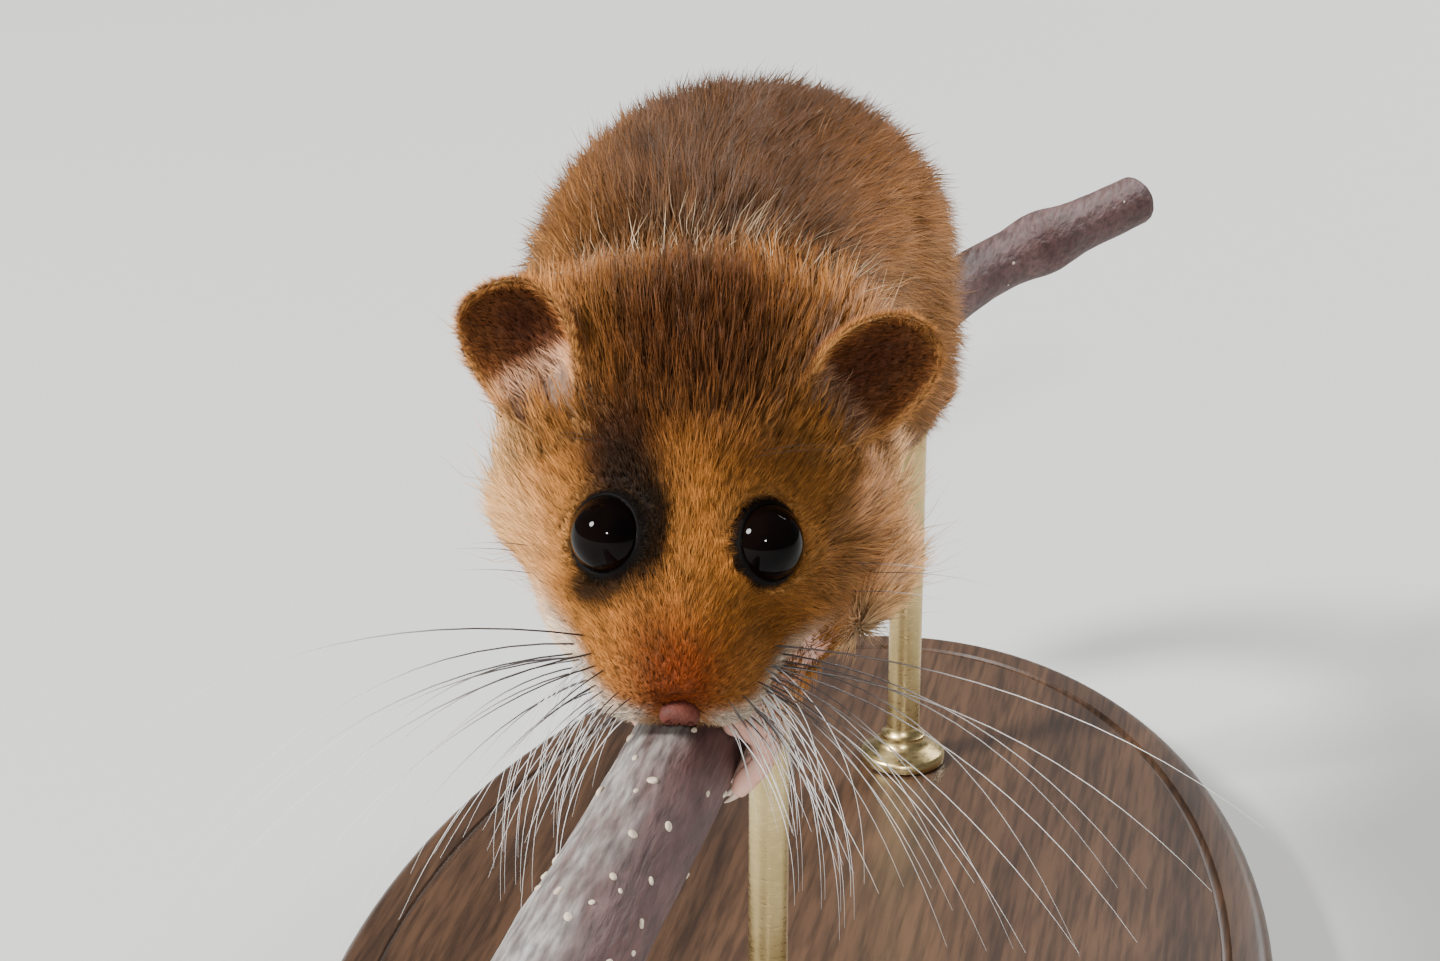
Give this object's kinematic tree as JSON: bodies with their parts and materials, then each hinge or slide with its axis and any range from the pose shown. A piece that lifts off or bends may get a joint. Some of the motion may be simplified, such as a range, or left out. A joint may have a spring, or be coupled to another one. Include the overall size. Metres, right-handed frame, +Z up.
{
  "type": "hazel dormouse model on a twig perch",
  "caption": "Life-size still model of a hazel dormouse crouched along a cut length of twig, head low, on an oval stand with rods.",
  "frame": {"origin": "middle of the flat underside of the stand's base", "axes": "+Z up, the animal faces -Y along its perch, with its left side towards +X"},
  "size_m": [0.066, 0.1352, 0.071],
  "materials": {
    "coat": "short dense golden-brown fur",
    "tail_coat": "thick soft brown fur",
    "ear": "thin skin under very short hair",
    "eye": "wet glossy black",
    "nose": "moist bare skin",
    "paw": "pink skin with sparse pale hair",
    "bark": "smooth purple-brown bark",
    "stand_wood": "dark satin varnish",
    "stand_metal": "brushed brass"
  },
  "bodies": {
    "root": {"head": "coat", "neck": "coat", "torso": "coat", "hindleg_left": "coat", "hindleg_right": "coat", "foreleg_left": "coat", "foreleg_right": "coat", "tail_1": "tail_coat", "tail_2": "tail_coat", "tail_3": "tail_coat", "ear_left": "ear", "ear_right": "ear", "eye_left": "eye", "eye_right": "eye", "nose": "nose", "hand_left": "paw", "hand_right": "paw", "foot_left": "paw", "foot_right": "paw", "perch": "bark", "stand_base": "stand_wood", "stand_rod_front": "stand_metal", "stand_rod_back": "stand_metal"}
  },
  "joints": []
}
